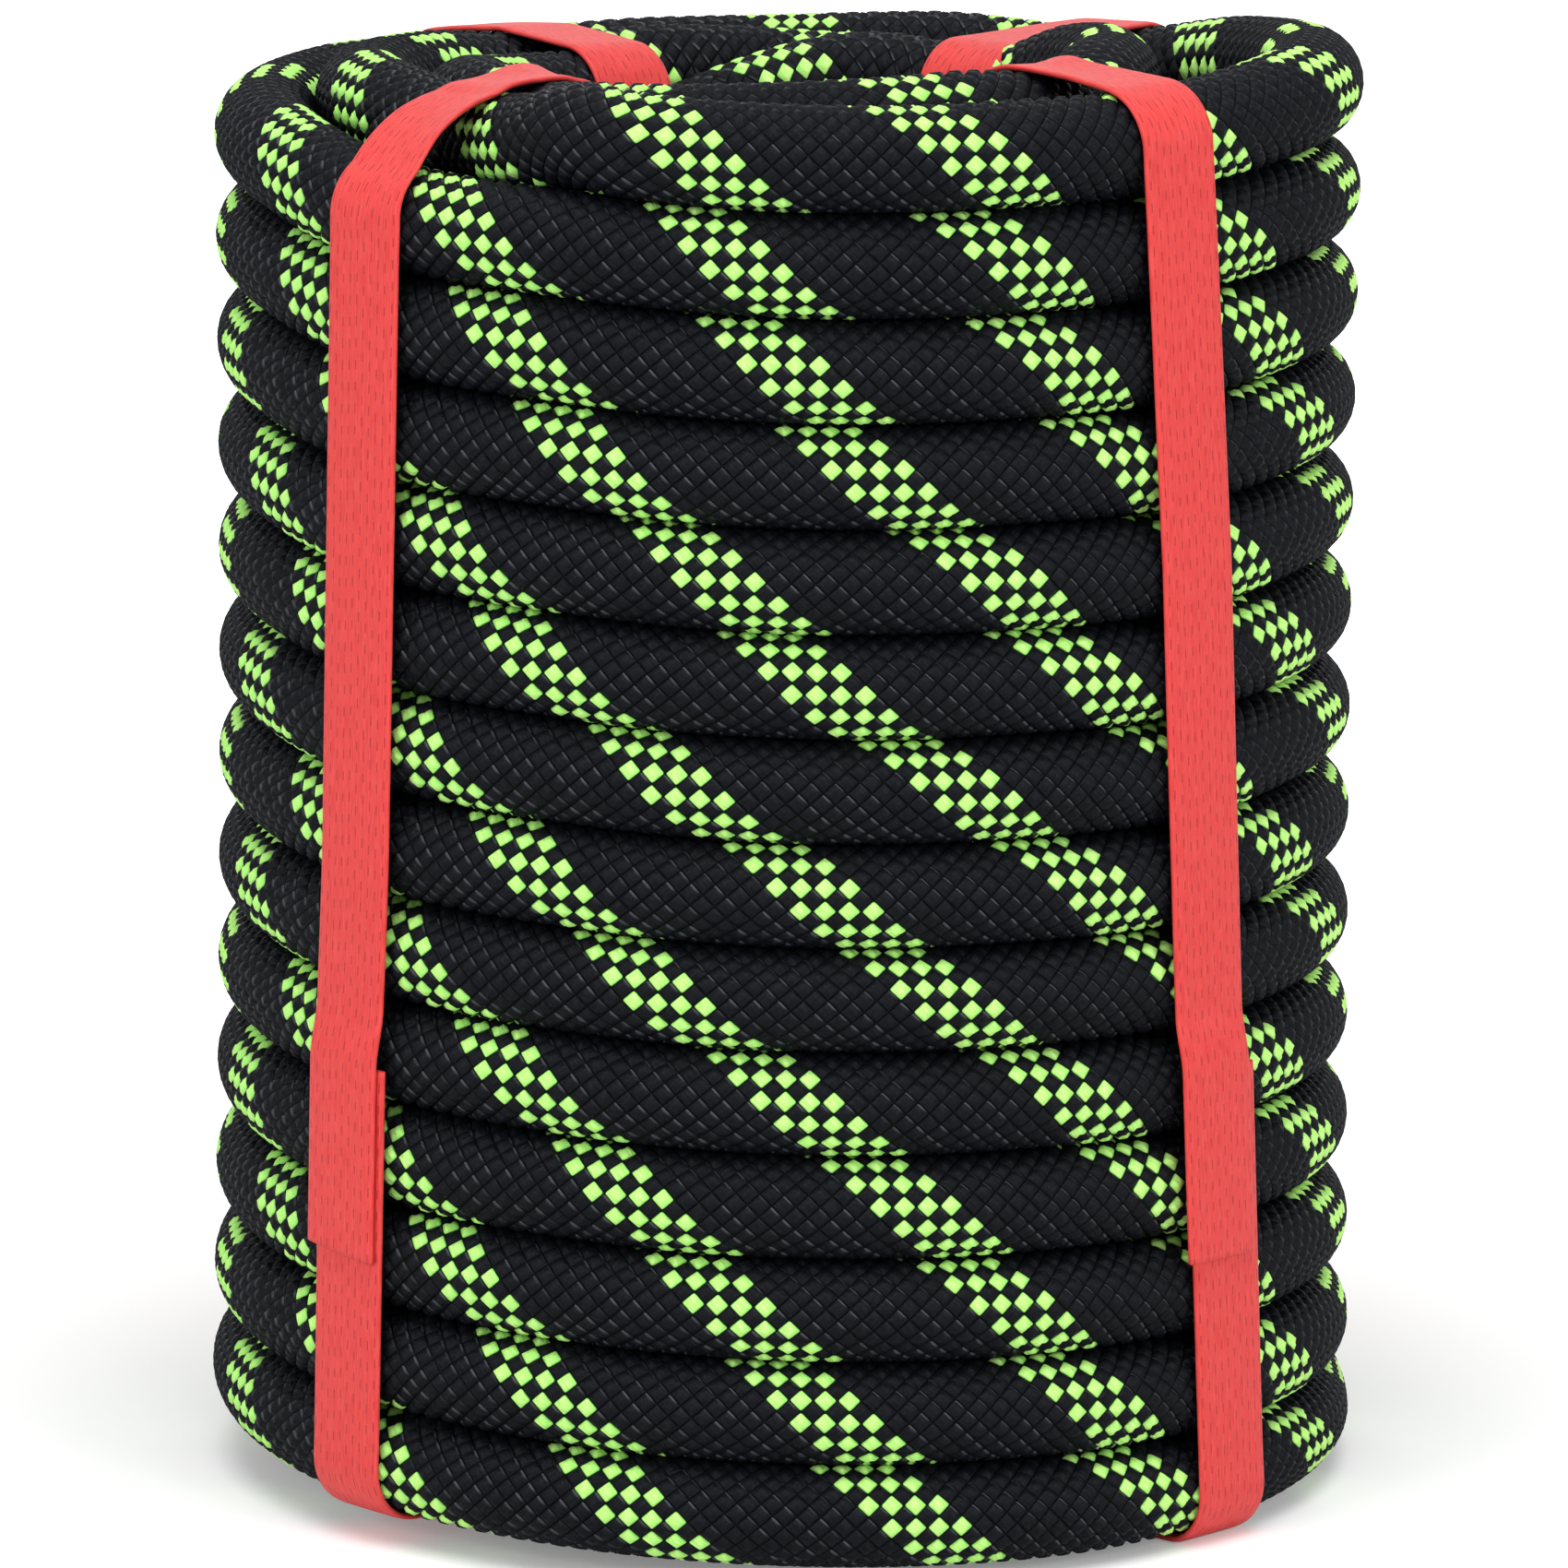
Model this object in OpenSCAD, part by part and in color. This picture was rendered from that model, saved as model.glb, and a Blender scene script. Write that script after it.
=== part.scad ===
// Dynamic climbing rope, stored as an upright coil of three layers held by four straps.
// Millimetres. +Z is up, the front of the coil faces -Y, the origin is under its centre.
// An azimuth is measured round the coil from the front (0) towards the right (+90).

/* [Rope] */
// Diameter of the rope over its braided sheath
rope_d = 10; // [9:0.1:11]
// Diameter that a heat-sealed cut end draws in to
sealed_d = 9.6; // [8.4:0.1:10]
// Wall of the braided sheath
sheath_t = 1.1; // [0.8:0.1:1.5]
// Length of the sealed part at each cut end
sealed_len = 5; // [3:0.5:8]
// Clearance between the core strands and inside the sheath
strand_play = 0.1; // [0.04:0.02:0.2]

/* [Coil] */
// Outside diameter of the coil at its waist
coil_d = 111.6; // [108:0.2:124]
// Turns that can be counted down the front of the outer layer
outer_turns = 14; // [12:1:15]
// Clearance between two turns of one layer
turn_play = 0.5; // [0.45:0.05:0.8]
// Clearance between two layers
layer_play = 0.7; // [0.6:0.1:1.2]
// How much two turns that press on each other stand apart past the rope's diameter
turn_slack = 0.2; // [0:0.1:0.5]
// How far the top and bottom turns stand out past the waist
waist = 0.7; // [0:0.1:1.2]
// How much further the lowest turn stands out than a turn at the waist, and the top turn less
taper = 0.3; // [0:0.1:0.6]
// Height of the lowest turn where the rope's end lies under the coil, as a share of its full height
squash = 0.78; // [0.76:0.01:0.8]
// How far the top turn stands higher at the sides than halfway round to the front
crown = 1.6; // [0:0.2:2]
// How far the loop that ends inside the top bulges out towards the front
top_bulge = 11; // [8:0.5:11]
// How far the outer end swings out from under the coil before its last straight
outer_swing = 3.6; // [3.2:0.2:5]
// How far the inner end draws in towards the hole before its last straight
inner_draw = 3; // [2:0.5:3.5]
// How far the inner layer's loops climb from the left side to the front right
inner_climb = 9; // [7:0.5:9]

/* [Straps] */
// Width of a strap
strap_w = 9; // [7:0.5:12]
// Thickness of a strap
strap_t = 0.7; // [0.5:0.1:1]
// Clearance between a strap and the rope
strap_gap = 0.3; // [0.2:0.05:0.4]
// Length of the welded lap where a strap's two ends meet
lap_len = 19; // [12:1:25]
// Height of the lap's lower end on the front of the coil
lap_z = 28; // [15:1:60]

/* [Hidden] */
$fn = 64;

sheath_black = [0.11, 0.12, 0.14];
core_white = [0.88, 0.87, 0.83];
strap_red = [0.92, 0.27, 0.27];

rope_r = rope_d / 2;
turn_step = rope_d + turn_slack;
layer_step = rope_d + layer_play;
strand_h = turn_step - turn_play;
outer_r = coil_d / 2 - rope_r;
middle_r = outer_r - layer_step;
inner_r = middle_r - layer_step;

// A layer's loop has this many rings of six corners.
rings = 24;
ring_step = 360 / rings;
// Width of a section's flat top and foot, as a share of its full width
flat_w = 0.38;

// The lowest turns lie this high, over the straps that pass beneath them.
floor_z = strap_t + strap_gap;
strand_z = floor_z + strand_h / 2;
foot_z = floor_z + rope_r;

// The outer layer starts at the right, on the floor, and winds up, seen from above clockwise.
// Its lowest turn lies flattened until the helix leaves the floor.
outer_start = 65;
helix_start = 150;
squash_end = 165;
crossing_start = 180 + 360 * (outer_turns - 1) + 25;
crossing_span = 60;
coil_h = strand_z + turn_step * (crossing_start - helix_start) / 360;
// Past the crossing one loop of the middle layer sinks a little faster than a turn.
top_loop_span = 315;
top_loop_fall = 1.28;

// The inner layer's end lies at the top left; from it the loops wind down.
tail_az = -110;
inner_loops = 9.6;
inner_low = coil_h - 5.2;
climb_az = [-138, 60, 165, 222];
climb_sag = 2.5;
bulge_az = [-75, -15, 20, 110];
swing_span = 27;
draw_span = 40;
end_tuck = 1.3;
end_tuck_span = 45;

// Strap places, round the coil, and how far the right front one leans
strap_az = [-43.5, 43.5, -141, 140];
strap_lean = [-1.06, 2.13, 0, 0];

function ease(t) = let (c = min(1, max(0, t))) c * c * (3 - 2 * c);
function unit(v) = v / norm(v);
function at(r, az, z) = [r * sin(az), -r * cos(az), z];

// Outer layer, with the crossing and the middle layer's top loop at its upper end.
// Its angle grows as it climbs, and its azimuth is 180 less that angle.
function layer_r(r, z) = let (h = 2 * z / coil_h - 1) r + waist * h * h - taper * h;
function flatness(a) = squash + (1 - squash) * ease((a - outer_start) / (squash_end - outer_start));
function helix_z(a) =
    max(strand_z + turn_step * (a - helix_start) / 360, floor_z + flatness(a) * strand_h / 2);
function outer_z(a) = helix_z(a) - crown * helix_lift(a) * cos(2 * (180 - a));
function helix_lift(a) = max(0, a - squash_end) / (crossing_start - squash_end);
function top_loop_z(past) = outer_z(crossing_start) - top_loop_fall * turn_step * past / 360;
function outer_at(a) =
    let (
        past = a - crossing_start,
        t = ease(past / crossing_span),
        z = (1 - t) * outer_z(a) + t * top_loop_z(past),
        swing = max(0, outer_start + swing_span - a) / swing_span,
        r = (1 - t) * layer_r(outer_r, helix_z(a)) + t * middle_r + outer_swing * swing * swing
    )
    at(r, 180 - a, z);

// Inner layer: every loop climbs by the same shape, one turn below the loop before.
function climb(az) =
    az < climb_az[1]
        ? inner_climb * ease((az - climb_az[0]) / (climb_az[1] - climb_az[0]))
    : az < climb_az[2]
        ? inner_climb - climb_sag * (az - climb_az[1]) / (climb_az[2] - climb_az[1])
    : (inner_climb - climb_sag) * (1 - ease((az - climb_az[2]) / (climb_az[3] - climb_az[2])));
function round_az(az) = az - 360 * floor((az - climb_az[0]) / 360);
function inner_z(az) = inner_low + climb(round_az(az)) - turn_step * (az - tail_az) / 360;
function inner_bulge(az) =
    top_bulge
    * ease((az - bulge_az[0]) / (bulge_az[1] - bulge_az[0]))
    * (1 - ease((az - bulge_az[2]) / (bulge_az[3] - bulge_az[2])));
inner_last = tail_az + 360 * inner_loops;
function inner_at(az) =
    let (draw = max(0, tail_az + draw_span - az) / draw_span)
    at(
        inner_r + inner_bulge(az) - inner_draw * draw * draw
            - end_tuck * ease(1 - (inner_last - az) / end_tuck_span),
        az, inner_z(az)
    );

// Each end of a tube runs straight for one rope diameter.
function end_dir(p, q) = unit(p - q);
outer_flare = end_dir(outer_at(outer_start), outer_at(outer_start + 2));
outer_tail = outer_at(outer_start) + rope_d * outer_flare
    + [0, 0, foot_z - outer_at(outer_start).z - rope_d * outer_flare.z];
outer_tail_dir = end_dir(outer_tail, outer_at(outer_start));
inner_tail_dir = end_dir(inner_at(tail_az), inner_at(tail_az + 2));
inner_tail = inner_at(tail_az) + rope_d * inner_tail_dir;
top_loop_last = crossing_start + top_loop_span;
top_loop_dir = end_dir(outer_at(top_loop_last), outer_at(top_loop_last - 2));
top_loop_end = outer_at(top_loop_last) + rope_d * top_loop_dir;
inner_last_dir = end_dir(inner_at(inner_last), inner_at(inner_last - 2));
inner_last_end = inner_at(inner_last) + rope_d * inner_last_dir;

outer_path = concat(
    [outer_tail],
    [for (a = [outer_start : ring_step : top_loop_last - ring_step / 2]) outer_at(a)],
    [outer_at(top_loop_last), top_loop_end]
);
// How flat each ring of the outer layer is
outer_flat = [for (i = [0 : len(outer_path) - 1]) i == 0 ? 1 : flatness(outer_start + ring_step * (i - 1))];
inner_path = concat(
    [inner_tail],
    [for (az = [tail_az : ring_step : inner_last - ring_step / 2]) inner_at(az)],
    [inner_at(inner_last), inner_last_end]
);
inner_flat = [for (p = inner_path) 1];

// A strand's section: flat sides face the next turns, and corners face the next layers.
section = [
    for (s = [[flat_w, 1], [1, 0], [flat_w, -1], [-flat_w, -1], [-1, 0], [-flat_w, 1]])
        [s.x * rope_r, s.y * strand_h / 2]
];
sides = len(section);

function tangent(path, i) =
    unit(path[min(i + 1, len(path) - 1)] - path[max(i - 1, 0)]);
function ring(path, flat, i) =
    let (t = tangent(path, i), u = unit([t.y, -t.x, 0]), v = cross(u, t))
    [for (s = section) path[i] + s.x * u + s.y * flat[i] * v];

// Least distance between a ring's corners and those of the rings one loop further on
function loop_gap(points, i) =
    min([
        for (j = [i + rings - 1 : i + rings + 1])
            if (j < len(points)) for (p = points[i]) for (q = points[j]) norm(p - q)
    ]);
function least_gap(path, flat) =
    let (points = [for (i = [0 : len(path) - 1]) ring(path, flat, i)])
    min([for (i = [1 : len(path) - rings - 2]) loop_gap(points, i)]);

outer_gap = least_gap(outer_path, outer_flat);
inner_gap = least_gap(inner_path, inner_flat);
echo(least_gap_of_outer_layer = outer_gap, least_gap_of_inner_layer = inner_gap);
function path_len(path) =
    [for (i = [1 : len(path) - 1]) norm(path[i] - path[i - 1])] * [for (i = [1 : len(path) - 1]) 1];
echo(outer_tube_length = path_len(outer_path), inner_tube_length = path_len(inner_path));

module tube(path, flat) {
    count = len(path);
    points = [for (i = [0 : count - 1]) each ring(path, flat, i)];
    walls = [
        for (i = [0 : count - 2]) for (k = [0 : sides - 1])
            let (a = i * sides + k, b = i * sides + (k + 1) % sides)
            each [[a, b, b + sides], [a, b + sides, a + sides]]
    ];
    first = [for (k = [1 : sides - 2]) [0, k + 1, k]];
    last = [for (k = [1 : sides - 2]) (count - 1) * sides * [1, 1, 1] + [0, k, k + 1]];
    polyhedron(points = points, faces = concat(walls, first, last));
}

// Puts +Z of what it holds along a direction, at a point.
module along(point, dir) {
    translate(point)
        rotate([0, acos(dir.z), atan2(dir.y, dir.x)])
            children();
}

// The plain inside of the coil: the middle layer below its top loop, and the inner
// layer below its wound loops, each with the round foot of its lowest turn.
middle_top = min([for (a = [top_loop_last - 30 : 5 : top_loop_last]) outer_at(a).z, top_loop_end.z])
    - strand_h / 2 - turn_play;
inner_top = min([for (az = [inner_last - 360 : 5 : inner_last]) inner_z(az)]) - strand_h / 2 - turn_play;

module column(r, top) {
    translate([r, foot_z])
        circle(r = rope_r);
    translate([r - rope_r, foot_z])
        square([rope_d, top - foot_z]);
}

module layer_columns() {
    rotate_extrude($fn = 96) {
        column(middle_r, middle_top);
        column(inner_r, inner_top);
        translate([inner_r, foot_z])
            square([layer_step, inner_top - foot_z]);
    }
}

// A stretch of plain turn that starts square against the end of a wound tube.
module plain_turn(end, dir, r, from_az, to_az, bottom, top) {
    start_az = min(from_az, to_az);
    difference() {
        rotate([0, 0, start_az - 90])
            rotate_extrude(angle = abs(to_az - from_az), $fn = 96)
                translate([r - rope_r + strap_gap, bottom])
                    square([rope_d - 2 * strap_gap, top - bottom]);
        along(end, -dir)
            translate([0, 0, rope_d])
                cube(2 * rope_d, center = true);
    }
}

module rope_outer_layer() {
    color(sheath_black) tube(outer_path, outer_flat);
}

module rope_inner_layer() {
    color(sheath_black) tube(inner_path, inner_flat);
}

module rope_middle_layer() {
    top_az = 180 - top_loop_last + 360 * (outer_turns - 1);
    low_az = inner_last - 360 * floor(inner_loops);
    color(sheath_black)
        union() {
            layer_columns();
            plain_turn(
                top_loop_end, top_loop_dir, middle_r, top_az, top_az - 40,
                middle_top - 1, top_loop_end.z + strand_h / 2 - 1
            );
            plain_turn(
                inner_last_end, inner_last_dir, inner_r, low_az, low_az + 40,
                inner_top - 1, inner_last_end.z + strand_h / 4
            );
        }
}

module sealed_sheath(end, dir) {
    color(sheath_black)
        along(end, dir)
            difference() {
                cylinder(h = sealed_len, d = sealed_d);
                translate([0, 0, -1])
                    cylinder(h = sealed_len + 2, d = sealed_d - 2 * sheath_t);
            }
}

// Seven twisted strands, one in the middle and six round it, cut flush with the sheath
strand_d = (sealed_d - 2 * sheath_t) / 3 - strand_play;
module sealed_core(end, dir) {
    color(core_white)
        along(end, dir) {
            cylinder(h = sealed_len, d = strand_d);
            for (k = [0 : 5])
                rotate([0, 0, 60 * k])
                    translate([strand_d + strand_play, 0, 0])
                        cylinder(h = sealed_len, d = strand_d);
        }
}

module outer_end_sheath() sealed_sheath(outer_tail, outer_tail_dir);
module outer_end_core() sealed_core(outer_tail, outer_tail_dir);
module inner_end_sheath() sealed_sheath(inner_tail, inner_tail_dir);
module inner_end_core() sealed_core(inner_tail, inner_tail_dir);

// How far a leaning strap stands along the coil's side from its middle, at one height
function strap_shift(k, z) = -sin(strap_lean[k]) * (z - coil_h / 2);
// A strand where it passes a strap's middle and its two edges, as radius and height
function under_strap(k, p, at_turn) = [
    for (side = [-1, 0, 1])
        let (turn = asin((side * strap_w / 2 + strap_shift(k, p.z)) / norm([p.x, p.y])))
        in_plane(k, at_turn(turn))
];
function in_plane(k, q) = [q * at(1, strap_az[k], 0), q.z];
function strands_at(k) =
    let (az = strap_az[k])
    concat(
        [
            for (a = [180 - az : 360 : top_loop_last]) if (a >= outer_start)
                each under_strap(k, outer_at(a), function(turn) outer_at(a - turn))
        ],
        [
            for (b = [az - 360 : 360 : inner_last]) if (b >= tail_az)
                each under_strap(k, inner_at(b), function(turn) inner_at(b + turn))
        ],
        [
            for (r = [middle_r, inner_r])
                each under_strap(k, at(r, az, foot_z), function(turn) at(r, az + turn, foot_z))
        ]
    );
// The inner end of the rope lies under the back left strap.
function tail_under(k) =
    k != 2 ? [] : [for (s = [0, sealed_len]) in_plane(k, inner_tail + s * inner_tail_dir)];

// The outline of a band drawn taut round all the strands, this far off them, down to the
// floor. The lowest strands may sink, so that a leaning band can be cut flat under them.
module taut(strands, off, sink = 0) {
    intersection() {
        hull()
            for (s = strands)
                translate([s.x, s.y > foot_z ? s.y : s.y - sink])
                    circle(r = rope_r + off, $fn = 32);
        translate([0, floor_z - off - sink])
            square([coil_d, 2 * coil_h]);
    }
}

module strap(k) {
    strands = concat(strands_at(k), tail_under(k));
    sink = strap_t * abs(sin(strap_lean[k])) * rope_d;
    color(strap_red)
        difference() {
            rotate([0, 0, strap_az[k] - 90])
                translate([0, 0, coil_h / 2])
                    rotate([strap_lean[k], 0, 0])
                        translate([0, 0, -coil_h / 2])
                            rotate([90, 0, 0])
                                linear_extrude(strap_w, center = true) {
                                    difference() {
                                        taut(strands, strap_gap + strap_t, sink);
                                        taut(strands, strap_gap);
                                    }
                                    intersection() {
                                        difference() {
                                            taut(strands, strap_gap + 2 * strap_t);
                                            taut(strands, strap_gap + strap_t / 2);
                                        }
                                        translate([outer_r, lap_z])
                                            square([2 * rope_d, lap_len]);
                                    }
                                }
            translate([-coil_d, -coil_d, -2 * rope_d])
                cube([2 * coil_d, 2 * coil_d, 2 * rope_d]);
        }
}

module strap_front_left() strap(0);
module strap_front_right() strap(1);
module strap_back_left() strap(2);
module strap_back_right() strap(3);

rope_outer_layer();
rope_middle_layer();
rope_inner_layer();
outer_end_sheath();
outer_end_core();
inner_end_sheath();
inner_end_core();
strap_front_left();
strap_front_right();
strap_back_left();
strap_back_right();
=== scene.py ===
"""The looks of a dynamic climbing rope, stored as an upright coil of three layers held by four
straps. Metres. +Z is up and the front of the coil faces -Y. An azimuth is measured round the
coil's axis from the front (0) towards the right (+90 degrees)."""

import bpy
import numpy as np
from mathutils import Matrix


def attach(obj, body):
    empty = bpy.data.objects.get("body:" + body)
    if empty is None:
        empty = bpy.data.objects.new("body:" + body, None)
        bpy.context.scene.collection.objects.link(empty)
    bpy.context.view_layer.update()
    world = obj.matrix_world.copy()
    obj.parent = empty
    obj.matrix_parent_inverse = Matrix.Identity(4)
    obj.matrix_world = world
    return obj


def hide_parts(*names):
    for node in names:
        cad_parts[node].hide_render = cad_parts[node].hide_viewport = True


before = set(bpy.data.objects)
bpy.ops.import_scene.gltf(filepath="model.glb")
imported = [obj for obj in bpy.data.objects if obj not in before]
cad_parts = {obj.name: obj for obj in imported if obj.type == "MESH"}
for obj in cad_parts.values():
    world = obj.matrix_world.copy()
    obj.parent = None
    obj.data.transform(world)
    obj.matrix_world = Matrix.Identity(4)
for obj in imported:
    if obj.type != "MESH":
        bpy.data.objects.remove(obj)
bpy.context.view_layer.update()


# ---- Camera and floor ----------------------------------------------------------------------
# The coil is seen from a little above through a long lens, standing on a pale floor that
# fades to white and keeps the coil's soft shadow.
camera_back = 1.150
camera_height = 0.3007
camera_pitch = np.radians(90 - 11.463)
camera_roll = 0.0064
camera_data = bpy.data.cameras.new("camera")
camera_data.sensor_width = 36
camera_data.sensor_fit = "HORIZONTAL"
camera_data.lens = 271.9
camera_data.clip_start = 0.05
camera = bpy.data.objects.new("camera", camera_data)
camera.location = (0, -camera_back, camera_height)
camera.rotation_mode = "QUATERNION"
pitch = np.array([np.cos(camera_pitch / 2), np.sin(camera_pitch / 2), 0, 0])
cos_roll, sin_roll = np.cos(camera_roll / 2), np.sin(camera_roll / 2)
camera.rotation_quaternion = (
    pitch[0] * cos_roll,
    pitch[1] * cos_roll,
    -pitch[1] * sin_roll,
    pitch[0] * sin_roll,
)
bpy.context.scene.collection.objects.link(camera)
bpy.context.scene.camera = camera
bpy.context.scene.view_settings.view_transform = "Standard"


def put(piece_name, mesh, material):
    """Puts a finished mesh into the scene as one piece with one material."""
    piece = bpy.data.objects.new(piece_name, mesh)
    bpy.context.scene.collection.objects.link(piece)
    mesh.materials.append(material)
    return piece


def fresh_material(name):
    """A new material: its node tree, and the Principled shader in it."""
    material = bpy.data.materials.new(name)
    material.use_nodes = True
    return material, material.node_tree, material.node_tree.nodes["Principled BSDF"]


floor_half = 6.0
floor_mesh = bpy.data.meshes.new("floor")
floor_corners = [(x * floor_half, y * floor_half, 0) for x, y in ((-1, -1), (1, -1), (1, 1), (-1, 1))]
floor_mesh.from_pydata(floor_corners, [], [(0, 1, 2, 3)])
floor_material, floor_tree, floor_shader = fresh_material("floor")
floor_shader.inputs["Base Color"].default_value = (0.9, 0.9, 0.9, 1)
floor_shader.inputs["Roughness"].default_value = 0.9
floor_shader.inputs["Specular IOR Level"].default_value = 0.1
floor_shader.inputs["Emission Color"].default_value = (1, 1, 1, 1)
seen_directly = floor_tree.nodes.new("ShaderNodeLightPath")
floor_place = floor_tree.nodes.new("ShaderNodeTexCoord")
floor_reach = floor_tree.nodes.new("ShaderNodeVectorMath")
floor_reach.operation = "LENGTH"
floor_tree.links.new(floor_place.outputs["Object"], floor_reach.inputs[0])
floor_fade = floor_tree.nodes.new("ShaderNodeMapRange")
floor_fade.inputs["From Min"].default_value = 0.07
floor_fade.inputs["From Max"].default_value = 0.4
floor_fade.inputs["To Min"].default_value = 0.2
floor_fade.inputs["To Max"].default_value = 1.0
floor_tree.links.new(floor_reach.outputs["Value"], floor_fade.inputs["Value"])
floor_lift = floor_tree.nodes.new("ShaderNodeMath")
floor_lift.operation = "MULTIPLY"
floor_tree.links.new(seen_directly.outputs["Is Camera Ray"], floor_lift.inputs[0])
floor_tree.links.new(floor_fade.outputs[0], floor_lift.inputs[1])
floor_tree.links.new(floor_lift.outputs[0], floor_shader.inputs["Emission Strength"])
floor = put("floor", floor_mesh, floor_material)


# ---- The rope's centreline -----------------------------------------------------------------
# One rope, wound from its outer end at the back right up the outer layer, across at the top,
# down the middle layer, across at the floor and up the inner layer to its inner end.
mm = 0.001
rope_d = 10.0
turn_step = rope_d + 0.2
strand_half = (turn_step - 0.5) / 2
floor_z = 1.0
strand_z = floor_z + strand_half
foot_z = floor_z + rope_d / 2
outer_r = 111.6 / 2 - rope_d / 2
layer_step = rope_d + 0.7
middle_r = outer_r - layer_step
inner_r = middle_r - layer_step
outer_start = 65
helix_start = 150
squash_end = 165
lowest_squash = 0.78
crossing_start = 180 + 360 * 13 + 20
top_loop_end = crossing_start + 320
coil_h = strand_z + turn_step * (crossing_start - helix_start) / 360
tail_az = -110
inner_low = coil_h - 5.2
strap_places = [-46.5, 46.4, -141, 140]
strap_pulls = [0.9, 0.9, 0.9, 1.7]
side_rise = 1.6
loop_fall = 1.4
crossing_dive = 1.2
strap_draw = 2.2
loop_widening = 1.3
end_swing = 3.6
end_swing_span = 27


def ease(t):
    """Goes smoothly from 0 at 0 to 1 at 1, as 3 t^2 - 2 t^3."""
    t = np.clip(t, 0, 1)
    return t * t * (3 - 2 * t)


def ring_point(r, az, z):
    """Points at a distance from the axis, an azimuth in degrees and a height."""
    az = np.radians(az)
    return np.stack([r * np.sin(az), -r * np.cos(az), z + 0 * az], axis=-1)


def near(az, place, width):
    """1 at a place round the coil, falling to 0 at this many degrees from it."""
    return 1 - ease(np.abs(np.mod(az - place + 180, 360) - 180) / width)


def pulled(az, z):
    """A strand's height where a taut strap presses the turns together: lowered by the strap's
    pull at the top of the coil, by an ease over 25 degrees on each side of the strap."""
    depth = [pull * near(az, place, 25) for pull, place in zip(strap_pulls, strap_places)]
    return z * (1 - np.max(depth, axis=0) / coil_h)


def flatness(a):
    """Height of a strand as a share of its full height: the lowest turn is pressed flat."""
    return lowest_squash + (1 - lowest_squash) * ease((a - outer_start) / (squash_end - outer_start))


def outer_layer(a):
    """Outer layer and the middle layer's top loop. The radius widens with the square of the
    distance from mid height, the turns rise at the sides by a cosine of twice the azimuth,
    and the topmost ones sag at the back, the back right and the left. At the crossing the
    radius eases in by one layer while the strand dives and then falls evenly. The upper
    turns draw in under the front right strap, and the rope's end swings out."""
    helix = np.maximum(strand_z + turn_step * (a - helix_start) / 360, floor_z + flatness(a) * strand_half)
    lift = np.maximum(0, a - squash_end) / (crossing_start - squash_end)
    sunk = 0.5 * near(180 - a, 180, 60) + 1.0 * near(180 - a, 128, 45) + 0.9 * near(180 - a, -110, 40)
    z = helix - side_rise * lift * np.cos(2 * np.radians(180 - a)) - sunk * lift**8
    crossing_z = coil_h - side_rise * np.cos(2 * np.radians(180 - crossing_start))
    past = a - crossing_start
    share = ease((past + 8) / 36)
    settled = ease((past + 3) / 14)
    dive = crossing_dive * ease(past / 14) * (1 - ease((past - 25) / 40))
    z = (1 - settled) * z + settled * (crossing_z - dive - loop_fall * turn_step * past / 360)
    h = 2 * helix / coil_h - 1
    swing = np.maximum(0, outer_start + end_swing_span - a) / end_swing_span
    drawn_in = strap_draw * ease((helix - 90) / 48) * near(180 - a, 45, 28)
    wide = loop_widening * near(180 - a, -100, 50)
    outside = outer_r + 0.7 * h * h - 0.3 * h - drawn_in
    r = (1 - share) * outside + share * (middle_r + wide) + end_swing * swing**2
    return ring_point(r, 180 - a, pulled(180 - a, z))


middle_turns = 11.565
middle_top_z = outer_layer(np.array([top_loop_end]))[0, 2]


def middle_layer(turned):
    """Middle layer: an even helix down from the top loop to the floor."""
    z = middle_top_z + (foot_z - middle_top_z) * turned / (360 * middle_turns)
    return ring_point(middle_r, 180 - top_loop_end - turned, z)


cut_az = -134
inner_loops = (inner_low - foot_z) / turn_step
inner_last = tail_az + 360 * inner_loops
back_rise = 9
back_sag = 2.5
front_bulge = 11
top_widening = 2.0
strap_dip = 0.7
end_dip = 2.0


def inner_layer(b):
    """Inner layer, counted down from the inner end. Each loop drops one turn, climbs from the
    left side to the front right, sags at the back and drops under the loop above, less and
    less in the lower loops. The top loop is wider and bulges out at the front, and the rope's
    end dips under the strap that holds it."""
    az = np.mod(b + 138, 360) - 138
    back = (back_rise - back_sag * ease((az - 100) / 45)) * (1 - ease((az - 165) / 57))
    rise = np.where(az > 60, back, back_rise * ease((az + 138) / 198)) * (b > -138)
    rise = rise * ease((inner_last - 360 - b) / (5 * 360))
    z = inner_low + rise - turn_step * (b - tail_az) / 360
    bulge = front_bulge * ease((b + 60) / 45) * (1 - ease((b - 5) / 75))
    bulge = bulge + top_widening * ease((b + 150) / 90) * (1 - ease((b - 200) / 80))
    dip = strap_dip * (1 - ease(np.abs(b - 45) / 25)) + end_dip * ease((-75 - b) / 50)
    return ring_point(inner_r + bulge, b, pulled(b, z) - dip)


def floor_crossing(turned):
    """On the floor the rope crosses over 60 degrees from the middle layer to the inner one."""
    r = middle_r - layer_step * ease(turned / 60)
    return ring_point(r, inner_last + 60 - turned, foot_z)


def run_straight(points, length):
    """Adds a straight stretch of this length before the first point."""
    out = points[0] - points[1]
    return points[0] + length * out / np.linalg.norm(out)


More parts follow.
